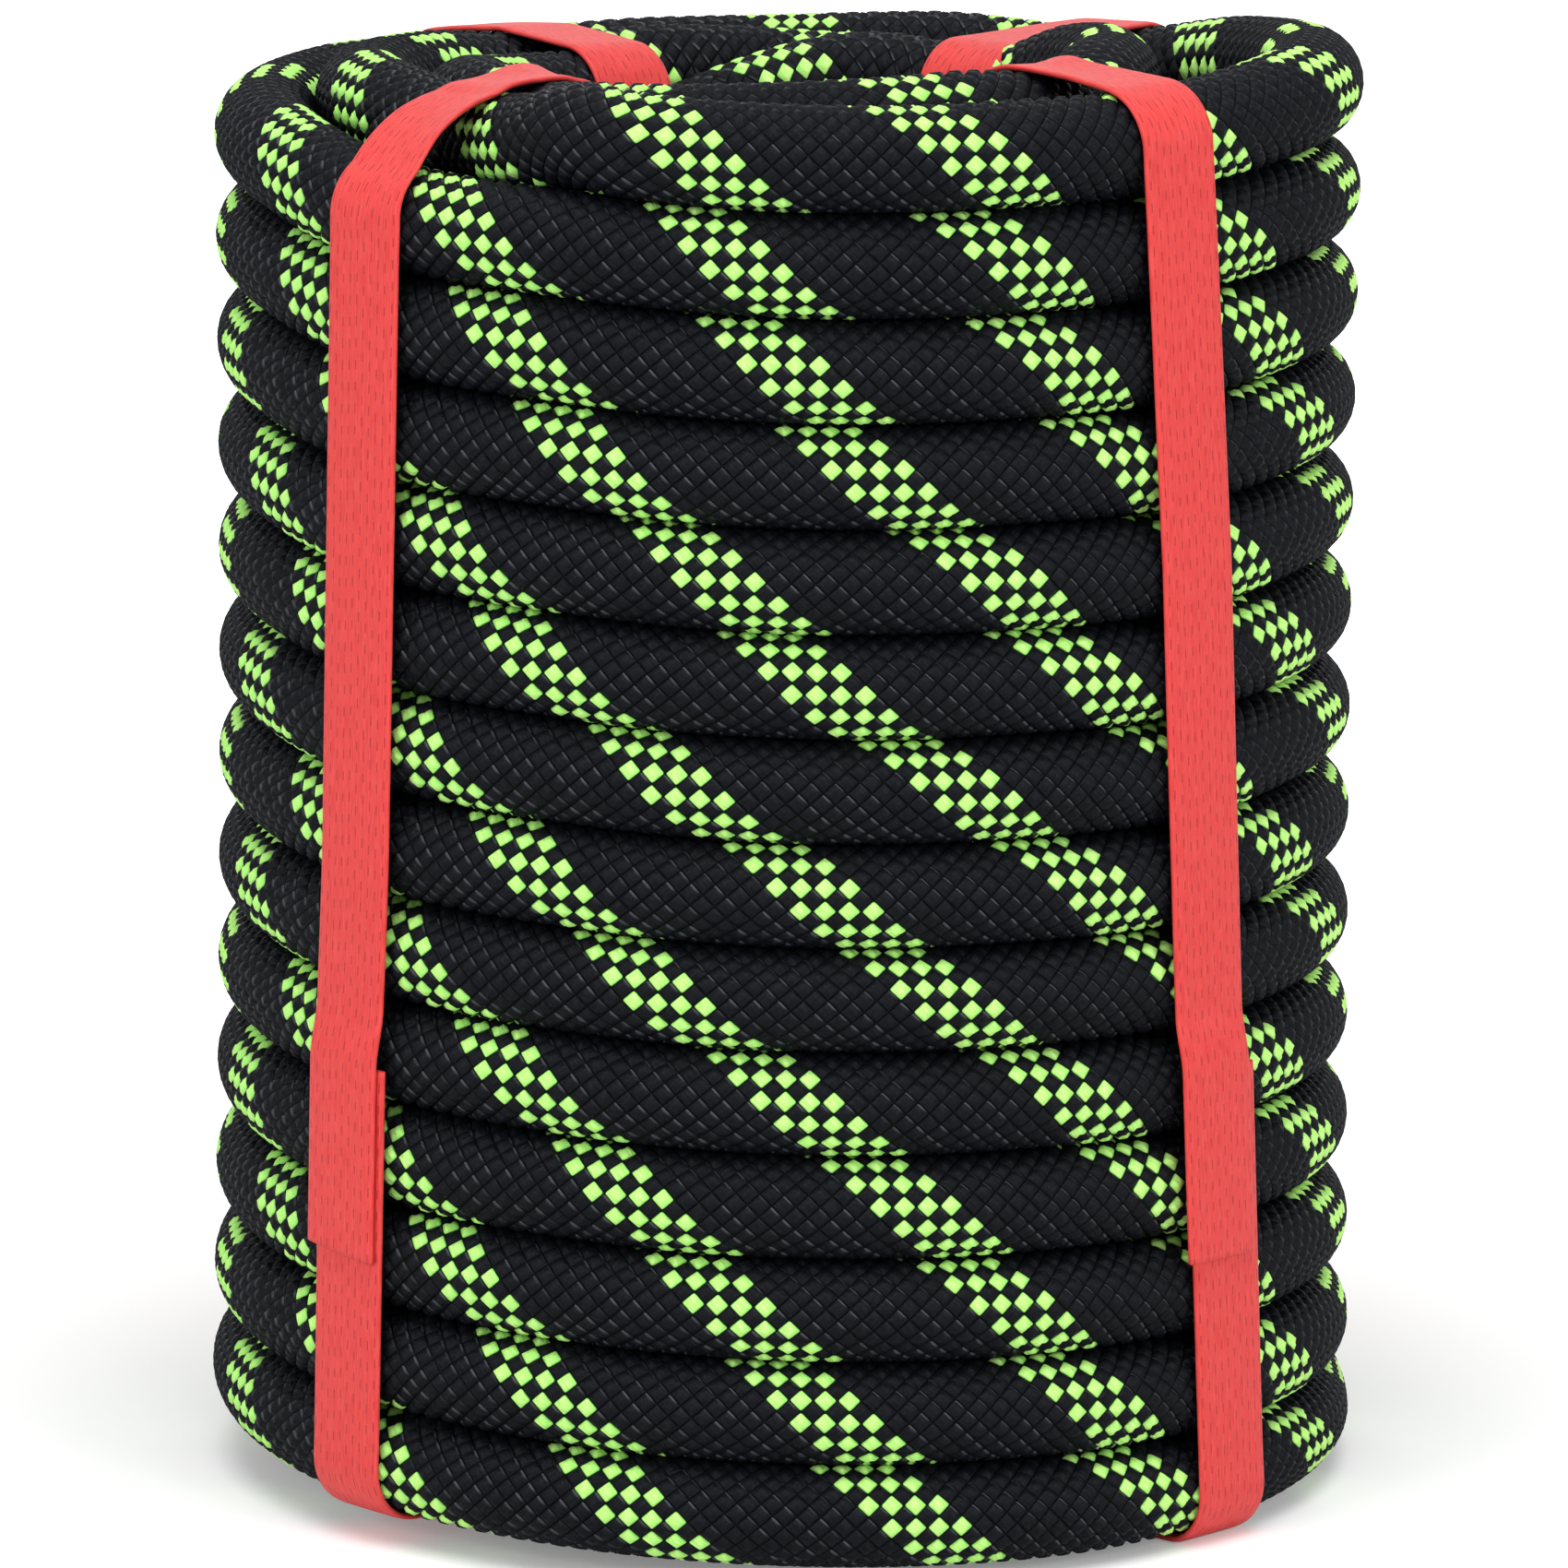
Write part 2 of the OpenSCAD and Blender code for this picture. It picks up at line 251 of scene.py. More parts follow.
angle_step = 0.5
outer_angles = np.arange(outer_start, top_loop_end, angle_step)
outer_points = outer_layer(outer_angles)
outer_tail = run_straight(outer_points[[0, 4]], rope_d)
outer_tail[2] = foot_z
inner_points = inner_layer(np.arange(inner_last - angle_step, cut_az, -angle_step))
line = np.concatenate(
    [
        [outer_tail],
        outer_points,
        middle_layer(np.arange(0, 360 * middle_turns, angle_step)),
        floor_crossing(np.arange(0, 60, angle_step)),
        inner_points,
    ]
)
line_flat = np.ones(len(line))
line_flat[1 : 1 + len(outer_points)] = flatness(outer_angles)
measure = np.concatenate([[0], np.cumsum(np.linalg.norm(np.diff(line, axis=0), axis=1))])
outer_length = measure[len(outer_points)]
inner_begins = measure[len(line) - len(inner_points)]
rope_length = measure[-1]


def on_line(s, values):
    """A value given along the centreline, at these distances from the outer end."""
    return np.stack([np.interp(s, measure, column) for column in np.atleast_2d(values.T)], axis=-1)


# ---- The braided sheath --------------------------------------------------------------------
# Twenty-four flat yarns in a plain braid, twelve each way. Four neighbouring yarns that run
# down to the right are neon green, and the rest are black. Every crossing is a small pillow.
yarns = 12
bend_crowding = 0.14
groove_r = 4.72
pillow_h = 0.40
around = np.linspace(0, 2 * np.pi, 721)
around_yarns = yarns * (around + bend_crowding * np.sin(around)) / (2 * np.pi)


# Each turn was pulled and twisted a little more or less than the next, from the lowest up: how
# many braid pitches its bands lie ahead at the front, and how many degrees they lie higher.
turn_pull = [-0.48, 0.61, 0.27, -0.08, -0.35, 0.30, -0.39, -0.07, 0.66, 0.04, 0.29, -0.11, -0.53, -0.23]
turn_roll = [-2, 0.4, -13, -15, -14, -3, -7.3, -5, 0.4, 7, -9.5, -11.7, -2, -1.3]
front_angles = 180 + 360 * np.arange(len(turn_pull))
front_at = np.interp(front_angles, outer_angles, measure[1 : 1 + len(outer_points)])


def sheath_count(s):
    """Braid pitches from a first green band's middle to this place along the rope. The rope
    was wound with a slowly changing pull, so the count is a cubic of the distance over the
    outer layer, plus what each turn was pulled ahead, and goes on evenly past it. Over the
    first half metre of the inner layer it loses three quarters of a pitch."""
    x = (s - rope_d) / 4530
    inner = 0.75 * ease((s - inner_begins) / 500)
    over = np.maximum(x - 1, 0)
    x = np.minimum(x, 1)
    bands = 4.594 * x**3 - 4.963 * x**2 + 179.07 * x - 3.63 + 178.7 * over
    return 2.34 - inner + np.interp(s, front_at, turn_pull) - yarns * bands


def pillow(p, q):
    """Height of the yarn on top, 0 to 1. p counts the yarns that run one way and q those that
    run the other; where their whole parts add up to an even number, the first lies on top.
    It is full in the middle of the crossing and falls to 0 where it dives under."""
    first_on_top = np.mod(np.floor(p) + np.floor(q), 2) < 0.5
    p, q = np.abs(2 * np.mod(p, 1) - 1), np.abs(2 * np.mod(q, 1) - 1)
    across, along = np.where(first_on_top, p, q), np.where(first_on_top, q, p)
    return (1 - across**6) * (1 - along**4)


def sheath_mesh(name, s_from, s_to, pitch_part, yarn_part):
    """A closed tube along part of the centreline. Its rings stand every pitch_part of a braid
    pitch and its columns every yarn_part of a yarn, so that the pillows' edges follow the
    mesh. A point is the centreline plus its radius times the outward and upward directions."""
    fine = np.arange(s_from, s_to, 0.05)
    count = sheath_count(fine)
    first, last = np.ceil(count[-1] / pitch_part), np.floor(count[0] / pitch_part)
    u = np.arange(last, first - 1, -1) * pitch_part
    s = np.interp(-u, -count, fine)
    ends = np.array([s_from, s_to])
    u = np.concatenate([sheath_count(ends[:1]), u, sheath_count(ends[1:])])
    s = np.concatenate([ends[:1], s, ends[1:]])
    v = np.arange(0, yarns, yarn_part)
    centre = on_line(s, line)
    along = on_line(np.minimum(s + 0.6, rope_length), line) - on_line(np.maximum(s - 0.6, 0), line)
    along /= np.linalg.norm(along, axis=1)[:, None]
    outward = np.stack([-along[:, 1], along[:, 0], 0 * s], axis=-1)
    outward /= np.linalg.norm(outward, axis=1)[:, None]
    upward = np.cross(along, outward)
    flat = on_line(s, line_flat)
    theta = np.interp(v, around_yarns, around) + np.radians(np.interp(s, front_at, turn_roll))[:, None]
    p, q = u[:, None] + v[None, :], u[:, None] - v[None, :]
    radius = groove_r + pillow_h * (pillow(p, q) if pitch_part < 0.5 else 0.6)
    radius = radius + 0 * p
    points = (
        centre[:, None, :]
        + (radius * np.cos(theta))[:, :, None] * outward[:, None, :]
        + (radius * np.sin(theta) * flat)[:, :, None] * upward[:, None, :]
    )
    rings, columns = len(s), len(v)
    ring, column = np.meshgrid(np.arange(rings - 1), np.arange(columns), indexing="ij")
    along_first = np.isclose(np.mod(p[:-1], 1), 0) | ~np.isclose(np.mod(q[1:], 1), 0)
    corners = [(ring, column), (ring, column + 1), (ring + 1, column + 1), (ring + 1, column)]

    def cut_in_two(part):
        """Two triangles for each face, along whichever diagonal follows the yarns' edges."""
        one_way = np.stack([corners[k][part] for k in (0, 1, 2, 0, 2, 3)], -1)
        other_way = np.stack([corners[k][part] for k in (0, 1, 3, 1, 2, 3)], -1)
        return np.where(along_first[..., None], one_way, other_way)

    ring_of, column_of = cut_in_two(0), cut_in_two(1)
    cap = np.arange(columns)
    corner_of = (ring_of * columns + column_of % columns).ravel()
    loops = np.concatenate([corner_of, cap[::-1], (rings - 1) * columns + cap])
    uv = np.stack([u[ring_of], column_of * yarn_part], axis=-1).reshape(-1, 2)
    first_cap = np.stack([u[0] + 0.0 * cap, v[::-1]], -1)
    last_cap = np.stack([u[-1] + 0.0 * cap, v], -1)
    uv = np.concatenate([uv, first_cap, last_cap])
    triangles = 2 * (rings - 1) * columns
    mesh = bpy.data.meshes.new(name)
    mesh.vertices.add(rings * columns)
    mesh.vertices.foreach_set("co", (points * mm).ravel())
    mesh.loops.add(len(loops))
    mesh.loops.foreach_set("vertex_index", loops)
    mesh.polygons.add(triangles + 2)
    starts = np.concatenate([3 * np.arange(triangles), [3 * triangles, 3 * triangles + columns]])
    mesh.polygons.foreach_set("loop_start", starts)
    smooth = np.ones(triangles + 2, bool)
    smooth[-2:] = False
    mesh.polygons.foreach_set("use_smooth", smooth)
    mesh.uv_layers.new(name="braid").data.foreach_set("uv", uv.ravel())
    mesh.update(calc_edges=True)
    mesh.validate()
    return mesh, centre


def wire(tree, operation, *values, node_type="ShaderNodeMath"):
    """Adds a math node, with each value a number or another node's output."""
    node = tree.nodes.new(node_type)
    node.operation = operation
    for socket, value in zip(node.inputs, values):
        if isinstance(value, (int, float)):
            socket.default_value = value
        else:
            tree.links.new(value, socket)
    return node.outputs[0]


def blend_colours(tree, share, first, second):
    """Mixes two colours, each fixed or another node's output."""
    node = tree.nodes.new("ShaderNodeMix")
    node.data_type = "RGBA"
    tree.links.new(share, node.inputs["Factor"])
    for socket, value in ((node.inputs[6], first), (node.inputs[7], second)):
        if isinstance(value, tuple):
            socket.default_value = value
        else:
            tree.links.new(value, socket)
    return node.outputs[2]


def smooth_step(tree, value, low, high):
    """Goes smoothly from 0 at the low value to 1 at the high one."""
    node = tree.nodes.new("ShaderNodeMapRange")
    node.interpolation_type = "SMOOTHSTEP"
    node.inputs["From Min"].default_value = low
    node.inputs["From Max"].default_value = high
    tree.links.new(value, node.inputs["Value"])
    return node.outputs[0]


def braid_group():
    """Plain braid as a function of the braid UV: the top yarn's height, where the green yarns
    show, how near a yarn's edge is, the fine filaments that run along each yarn, a random tone
    for each crossing, where a painted highlight lies on the rim at its upper end, and the way along the rope
    in it."""
    tree = bpy.data.node_groups.new("plain_braid", "ShaderNodeTree")
    tree.interface.new_socket("Braid UV", in_out="INPUT", socket_type="NodeSocketVector")
    for name in ("Height", "Green", "Edge", "Filament", "Tone", "Highlight", "Side"):
        tree.interface.new_socket(name, in_out="OUTPUT", socket_type="NodeSocketFloat")
    group_in = tree.nodes.new("NodeGroupInput")
    group_out = tree.nodes.new("NodeGroupOutput")
    parts = tree.nodes.new("ShaderNodeSeparateXYZ")
    tree.links.new(group_in.outputs[0], parts.inputs[0])
    p = wire(tree, "ADD", parts.outputs[0], parts.outputs[1])
    q = wire(tree, "SUBTRACT", parts.outputs[0], parts.outputs[1])
    p_whole, q_whole = wire(tree, "FLOOR", p), wire(tree, "FLOOR", q)
    half = wire(tree, "FRACT", wire(tree, "MULTIPLY", wire(tree, "ADD", p_whole, q_whole), 0.5))
    second_on_top = wire(tree, "GREATER_THAN", half, 0.25)
    first_on_top = wire(tree, "SUBTRACT", 1.0, second_on_top)

    def pick(when_first, when_second):
        first = wire(tree, "MULTIPLY", when_first, first_on_top)
        return wire(tree, "ADD", first, wire(tree, "MULTIPLY", when_second, second_on_top))

    def off_by(value):
        return wire(tree, "SUBTRACT", wire(tree, "MULTIPLY", wire(tree, "FRACT", value), 2.0), 1.0)

    p_side, q_side = off_by(p), off_by(q)
    p_off, q_off = wire(tree, "ABSOLUTE", p_side), wire(tree, "ABSOLUTE", q_side)
    across, along = pick(p_off, q_off), pick(q_off, p_off)
    full = wire(tree, "SQRT", wire(tree, "SUBTRACT", 1.0, wire(tree, "POWER", across, 2.4)))
    crown = wire(tree, "SQRT", wire(tree, "SUBTRACT", 1.0, wire(tree, "POWER", along, 2.6)))
    height = wire(tree, "MULTIPLY", full, crown)
    eighth = wire(tree, "ADD", wire(tree, "POWER", across, 8.0), wire(tree, "POWER", along, 8.0))
    edge = wire(tree, "POWER", eighth, 0.125)
    round_share = wire(tree, "FRACT", wire(tree, "DIVIDE", wire(tree, "ADD", p_whole, 0.5), yarns))
    yarn = wire(tree, "MULTIPLY", round_share, yarns)
    green = wire(tree, "MULTIPLY", wire(tree, "LESS_THAN", yarn, 4.0), first_on_top)
    lengthwise, crosswise = pick(q, p), pick(p, q)
    upper = wire(tree, "SUBTRACT", p_side, q_side)
    side = wire(tree, "MULTIPLY", wire(tree, "ADD", p_side, q_side), 0.5)
    # Mask of a painted highlight: a band just inside the yarn's edge on the upper side of each crossing.
    near_edge = smooth_step(tree, p_side, 0.62, 0.84)
    off_edge = wire(tree, "SUBTRACT", 1.0, smooth_step(tree, edge, 0.90, 0.97))
    highlight_rim = wire(tree, "MULTIPLY", near_edge, off_edge)
    highlight_rim = wire(tree, "MULTIPLY", highlight_rim, smooth_step(tree, upper, 0.1, 1.0))
    place = tree.nodes.new("ShaderNodeCombineXYZ")
    tree.links.new(wire(tree, "MULTIPLY", crosswise, 7.0), place.inputs[0])
    tree.links.new(wire(tree, "MULTIPLY", lengthwise, 0.9), place.inputs[1])
    tree.links.new(wire(tree, "MULTIPLY", second_on_top, 37.0), place.inputs[2])
    grain = tree.nodes.new("ShaderNodeTexNoise")
    grain.inputs["Scale"].default_value = 1.0
    grain.inputs["Detail"].default_value = 2.0
    tree.links.new(place.outputs[0], grain.inputs["Vector"])
    cell = tree.nodes.new("ShaderNodeCombineXYZ")
    tree.links.new(p_whole, cell.inputs[0])
    tree.links.new(q_whole, cell.inputs[1])
    tone = tree.nodes.new("ShaderNodeTexWhiteNoise")
    tone.noise_dimensions = "2D"
    tree.links.new(cell.outputs[0], tone.inputs["Vector"])
    values = (height, green, edge, grain.outputs["Fac"], tone.outputs["Value"], highlight_rim, side)
    for socket, value in zip(group_out.inputs, values):
        tree.links.new(value, socket)
    return tree


plain_braid = braid_group()


def sheath_material(name, strength):
    """Black nylon yarns with a blue cast and neon green ones, the filaments showing as faint lines
    along each yarn. Painted light on top of these colours: a pale highlight on the upper rim of the black
    crossings, a paler end on each green crossing against a deeper green one, painted shade darkening
    the green towards each yarn's edge, and painted shade in the gaps between yarns."""
    material, tree, shader = fresh_material(name)
    uv = tree.nodes.new("ShaderNodeUVMap")
    uv.uv_map = "braid"
    braid = tree.nodes.new("ShaderNodeGroup")
    braid.node_tree = plain_braid
    tree.links.new(uv.outputs[0], braid.inputs[0])
    lines = smooth_step(tree, braid.outputs["Filament"], 0.35, 0.7)
    # Painted highlight: the black yarns turn pale grey along the upper rim of each crossing, more on some
    # crossings than on others.
    painted_highlight = wire(tree, "MULTIPLY", braid.outputs["Highlight"], smooth_step(tree, braid.outputs["Tone"], 0.1, 0.8))
    black = blend_colours(tree, lines, (0.0044, 0.0050, 0.0068, 1), (0.0070, 0.0079, 0.0108, 1))
    black = blend_colours(tree, painted_highlight, black, (0.070, 0.075, 0.085, 1))
    green = blend_colours(tree, lines, (0.48, 0.95, 0.21, 1), (0.66, 1.0, 0.31, 1))
    # Painted highlight: each green crossing is painted deeper green towards one end along the rope, so that
    # its other end stays pale like a highlight.
    painted_sheen_falloff = wire(tree, "MULTIPLY", smooth_step(tree, braid.outputs["Side"], -0.3, 0.9), 0.5)
    green = blend_colours(tree, painted_sheen_falloff, green, (0.30, 0.90, 0.15, 1))
    shade = wire(tree, "MULTIPLY", smooth_step(tree, braid.outputs["Edge"], 0.72, 1.0), 0.55)
    green = blend_colours(tree, shade, green, (0.08, 0.52, 0.055, 1))
    yarn = blend_colours(tree, braid.outputs["Green"], black, green)
    # Painted shade: the gaps between yarns are painted near black, and near-black green beside the green
    # yarns.
    gap_shade_black, gap_shade_green = (0.0015, 0.0015, 0.002, 1), (0.002, 0.018, 0.002, 1)
    gap_shade = blend_colours(tree, braid.outputs["Green"], gap_shade_black, gap_shade_green)
    gap = smooth_step(tree, braid.outputs["Edge"], 0.90, 0.98)
    tree.links.new(blend_colours(tree, gap, yarn, gap_shade), shader.inputs["Base Color"])
    rough = tree.nodes.new("ShaderNodeMapRange")
    rough.inputs["To Min"].default_value = 0.5
    rough.inputs["To Max"].default_value = 0.38
    tree.links.new(lines, rough.inputs["Value"])
    tree.links.new(rough.outputs[0], shader.inputs["Roughness"])
    shader.inputs["Specular IOR Level"].default_value = 0.07
    filaments = wire(tree, "MULTIPLY", braid.outputs["Filament"], 0.35)
    relief = wire(tree, "ADD", braid.outputs["Height"], filaments)
    bump = tree.nodes.new("ShaderNodeBump")
    bump.inputs["Strength"].default_value = strength
    bump.inputs["Distance"].default_value = 0.0006
    tree.links.new(relief, bump.inputs["Height"])
    tree.links.new(bump.outputs[0], shader.inputs["Normal"])
    return material


relief_sheath = sheath_material("braided_sheath", 0.6)
hidden_sheath = sheath_material("braided_sheath_inside", 0.9)

outer_pieces = 5
outer_cuts = np.linspace(0, outer_length, outer_pieces + 1)
inner_top = rope_length - 260
outer_look = (0.25, 0.25, relief_sheath, "rope_outer_layer")
stretches = [
    (f"rope_outer_turns_{k + 1}", outer_cuts[k], outer_cuts[k + 1], *outer_look) for k in range(outer_pieces)
]
stretches += [
    ("rope_middle_turns", outer_length, inner_begins, 1.0, 0.5, hidden_sheath, "rope_middle_layer"),
    ("rope_inner_turns", inner_begins, inner_top, 0.5, 0.5, hidden_sheath, "rope_inner_layer"),
    ("rope_inner_top_turn", inner_top, rope_length, 0.25, 0.25, relief_sheath, "rope_inner_layer"),
]
for name, s_from, s_to, pitch_part, yarn_part, material, node in stretches:
    sheath, centre = sheath_mesh(name, s_from, s_to, pitch_part, yarn_part)
    piece = put(name, sheath, material)
    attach(piece, "root")
    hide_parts(node)


# ---- The rope's cut ends -------------------------------------------------------------------
# The rope was cut with a hot knife: the sheath's end is melted into a hard black lip, and the
# seven twisted white strands of the core show inside it, cut flush and yellowed by the heat.
seal_len = 5.0
bore_r = 3.7


def end_frame(base, before):
    """The end's direction and two directions across it, as the rows of a matrix."""
    out = (base - before) / np.linalg.norm(base - before)
    level = np.array([out[1], -out[0], 0]) / np.hypot(out[0], out[1])
    return np.stack([out, level, np.cross(out, level)])


def turned_tube(base, axes, profile, lumps):
    """A closed ring turned about the end's direction: a profile of distances and radii goes
    round in 96 steps, and the radius swells by a few lumps where the sheath has melted."""
    turn = np.linspace(0, 2 * np.pi, 96, endpoint=False)
    ahead, radius = profile[:, 0, None] + 0 * turn, profile[:, 1, None] + 0 * turn
    melted = ease(ahead / 3) * (np.sin(3 * turn + 0.7) + 0.6 * np.sin(7 * turn + 2.1))
    ahead, radius = ahead + 0.5 * lumps * melted, radius + lumps * melted
    across = radius[..., None] * (np.cos(turn)[:, None] * axes[1] + np.sin(turn)[:, None] * axes[2])
    return base + ahead[..., None] * axes[0] + across


def grid_faces(rings, columns, first=0):
    """Faces of a grid of points that closes on itself round its columns."""
    ring, column = np.meshgrid(np.arange(rings - 1), np.arange(columns), indexing="ij")
    after = (column + 1) % columns
    here, ahead = ring * columns, (ring + 1) * columns
    corners = [here + column, here + after, ahead + after, ahead + column]
    return (first + np.stack(corners, -1).reshape(-1, 4)).tolist()


def lip_mesh(name, base, axes):
    """The melted lip: out along the sheath, over a round edge and back down the bore."""
    bend = np.radians(np.linspace(0, 180, 13))
    edge = np.stack([seal_len - 0.5 + 0.5 * np.sin(bend), 4.2 + 0.5 * np.cos(bend)], -1)
    outside = np.stack([np.linspace(-0.3, seal_len - 0.8, 12), 4.95 - 0.22 * ease(np.linspace(0, 1, 12))], -1)
    inside = np.stack([np.linspace(seal_len - 0.8, -0.3, 6), np.full(6, bore_r)], -1)
    profile = np.concatenate([outside, edge, inside, outside[:1]])
    points = turned_tube(base, axes, profile, 0.05)
    mesh = bpy.data.meshes.new(name)
    rings = len(profile) - 1
    faces = np.array(grid_faces(rings + 1, 96))
    faces = np.mod(faces, rings * 96)
    mesh.from_pydata((points[:-1].reshape(-1, 3) * mm).tolist(), [], faces.tolist())
    mesh.polygons.foreach_set("use_smooth", np.ones(len(faces), bool))
    return mesh


def core_mesh(name, base, axes):
    """Seven strands, one in the middle and six round it, each twisting about the middle one by
    eleven degrees a millimetre and closed at both ends by a low dome."""
    strand_r, circle = 1.16, 2.4
    turn = np.linspace(0, 2 * np.pi, 24, endpoint=False)
    dome = seal_len - np.array([0.22, 0.12, 0.08])
    ahead = np.concatenate([[0.0, 0.02, 0.1], np.linspace(0.4, seal_len - 0.5, 10), dome])
    size = np.concatenate([[0.05, 0.8, 1.0], np.ones(10), [0.95, 0.7, 0.05]])
    points, faces = [], []
    for k in range(7):
        around_middle = np.radians(60 * k + 11 * ahead) if k < 6 else 0 * ahead
        off = circle if k < 6 else 0
        centre_level = off * np.cos(around_middle)[:, None]
        centre_up = off * np.sin(around_middle)[:, None]
        ridged = strand_r * size[:, None] * (1 + 0.05 * np.cos(3 * (turn[None, :] + 1.6 * ahead[:, None])))
        level, up = centre_level + ridged * np.cos(turn), centre_up + ridged * np.sin(turn)
        strand = base + ahead[:, None, None] * axes[0] + level[..., None] * axes[1] + up[..., None] * axes[2]
        first = k * len(ahead) * 24
        faces += grid_faces(len(ahead), 24, first)
        last = first + len(ahead) * 24
        faces += [list(range(first + 23, first - 1, -1)), list(range(last - 24, last))]
        points.append(strand.reshape(-1, 3))
    mesh = bpy.data.meshes.new(name)
    mesh.from_pydata((np.concatenate(points) * mm).tolist(), [], faces)
    mesh.polygons.foreach_set("use_smooth", np.array([len(face) == 4 for face in faces]))
    return mesh


def melted_material():
    """Black nylon melted smooth, glossier than the yarns, with small pits and drips."""
    material, tree, shader = fresh_material("melted_sheath")
    place = tree.nodes.new("ShaderNodeTexCoord")
    drips = tree.nodes.new("ShaderNodeTexNoise")
    drips.inputs["Scale"].default_value = 900
    drips.inputs["Detail"].default_value = 3
    tree.links.new(place.outputs["Object"], drips.inputs["Vector"])
    colour = blend_colours(tree, drips.outputs["Fac"], (0.006, 0.007, 0.009, 1), (0.016, 0.020, 0.016, 1))
    tree.links.new(colour, shader.inputs["Base Color"])
    tree.links.new(wire(tree, "MULTIPLY", drips.outputs["Fac"], 0.6), shader.inputs["Roughness"])
    shader.inputs["Specular IOR Level"].default_value = 0.25
    bump = tree.nodes.new("ShaderNodeBump")
    bump.inputs["Strength"].default_value = 0.6
    bump.inputs["Distance"].default_value = 0.0003
    tree.links.new(drips.outputs["Fac"], bump.inputs["Height"])
    tree.links.new(bump.outputs[0], shader.inputs["Normal"])
    return material


def core_material():
    """White nylon strands: fine filaments along them, and a yellowed skin at the hot cut."""
    material, tree, shader = fresh_material("core_strands")
    place = tree.nodes.new("ShaderNodeTexCoord")
    fibres = tree.nodes.new("ShaderNodeTexNoise")
    fibres.inputs["Scale"].default_value = 2500
    fibres.inputs["Detail"].default_value = 4
    tree.links.new(place.outputs["Object"], fibres.inputs["Vector"])
    colour = blend_colours(tree, fibres.outputs["Fac"], (0.52, 0.46, 0.34, 1), (0.86, 0.84, 0.78, 1))
    tree.links.new(colour, shader.inputs["Base Color"])
    shader.inputs["Roughness"].default_value = 0.55
    bump = tree.nodes.new("ShaderNodeBump")
    bump.inputs["Strength"].default_value = 0.5
    bump.inputs["Distance"].default_value = 0.0002
    tree.links.new(fibres.outputs["Fac"], bump.inputs["Height"])
    tree.links.new(bump.outputs[0], shader.inputs["Normal"])
    return material


melted_sheath, core_strands = melted_material(), core_material()
for end, base, before in (("outer", line[0], line[1]), ("inner", line[-1], line[-3])):
    axes = end_frame(base, before)
    lip = put(f"{end}_end_lip", lip_mesh(f"{end}_lip", base, axes), melted_sheath)
    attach(lip, "root")
    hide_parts(f"{end}_end_sheath")
    core = put(f"{end}_end_strands", core_mesh(f"{end}_strands", base, axes), core_strands)
    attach(core, "root")
    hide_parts(f"{end}_end_core")
inner_seal = line[-1] + np.arange(0, seal_len, 0.5)[:, None] * end_frame(line[-1], line[-3])[0]


# ---- The straps ----------------------------------------------------------------------------
# Four flat straps of red plastic tape, drawn taut round the bundle through the coil's middle.
# Each one's ends lap on the outside near the foot and are welded there.
strap_w = 9.4
strap_t = 0.7
strap_off = 5.12
lap_low = 29.0
lap_high = 47.6
step_len = 6.0
slack = 0.12
directions = np.radians(np.arange(90, -270, -1))
strap_dense = np.concatenate([on_line(np.arange(0, rope_length, 0.5), line), inner_seal])


def strap_route(azimuth, lean, give):
    """The taut outline round every strand that the strap crosses, in the strap's own plane.
    In each direction the outline touches the strand that reaches furthest that way under the
    tape's middle: it is that strand's middle plus the rope's radius along the direction. The
    two edges lie higher or lower by what the strands under them reach, as far as the tape
    gives. Where the tape spans a gap at the shoulder it bows out by a parabola. Returns
    lengths along the outline, its points as radius and height, the directions, and how far
    the edges stand out."""
    az = np.radians(azimuth)
    radial = np.array([np.sin(az), -np.cos(az), 0])
    sideways = np.array([np.cos(az), np.sin(az), 0])
    r, z = strap_dense @ radial, strap_dense[:, 2]
    side = strap_dense @ sideways - lean * (z - coil_h / 2)
    way = np.stack([np.cos(directions), np.sin(directions)], axis=-1)
    reach = []
    for middle in (0, -strap_w / 2, strap_w / 2):
        near = (r > 0) & (np.abs(side - middle) < 1.2)
        strands = np.stack([r[near], z[near]], axis=-1)
        if not reach:
            touch = strands[np.argmax(way @ strands.T, axis=1)] + strap_off * way
        reach.append(np.max(way @ strands.T, axis=1))
    above_floor = ease((touch[:, 1] - 2) / 6)
    edges = np.stack([reach[1] - reach[0], reach[2] - reach[0]], axis=-1)
    edges = np.clip(edges, -give, give) * above_floor[:, None]
    touch[:, 1] = np.maximum(touch[:, 1], strap_t)
    touch, way, edges = [np.concatenate([values, values[:1]]) for values in (touch, way, edges)]
    run = np.linalg.norm(np.diff(touch, axis=0), axis=1)
    length_at = np.concatenate([[0], np.cumsum(run)])
    fine = np.linspace(0, length_at[-1], 2000)
    outline, face, edges = [
        np.stack([np.interp(fine, length_at, values[:, k]) for k in (0, 1)], axis=-1)
        for values in (touch, way, edges)
    ]
    face /= np.linalg.norm(face, axis=1)[:, None]
    span = np.clip(np.searchsorted(length_at, fine, side="right") - 1, 0, len(run) - 1)
    t = (fine - length_at[span]) / np.maximum(run[span], 1e-6)
    shoulder = 4 * np.maximum(face[:, 0], 0) ** 2 * np.maximum(face[:, 1], 0) ** 2
    bow = slack * np.where(run[span] > 2, run[span], 0) * 4 * t * (1 - t) * shoulder
    smooth = np.ones(61) / 61
    padded = np.pad(edges, ((30, 30), (0, 0)), mode="wrap")
    edges = np.stack([np.convolve(padded[:, k], smooth, mode="valid") for k in (0, 1)], axis=-1)
    return fine, outline + bow[:, None] * face, face, edges


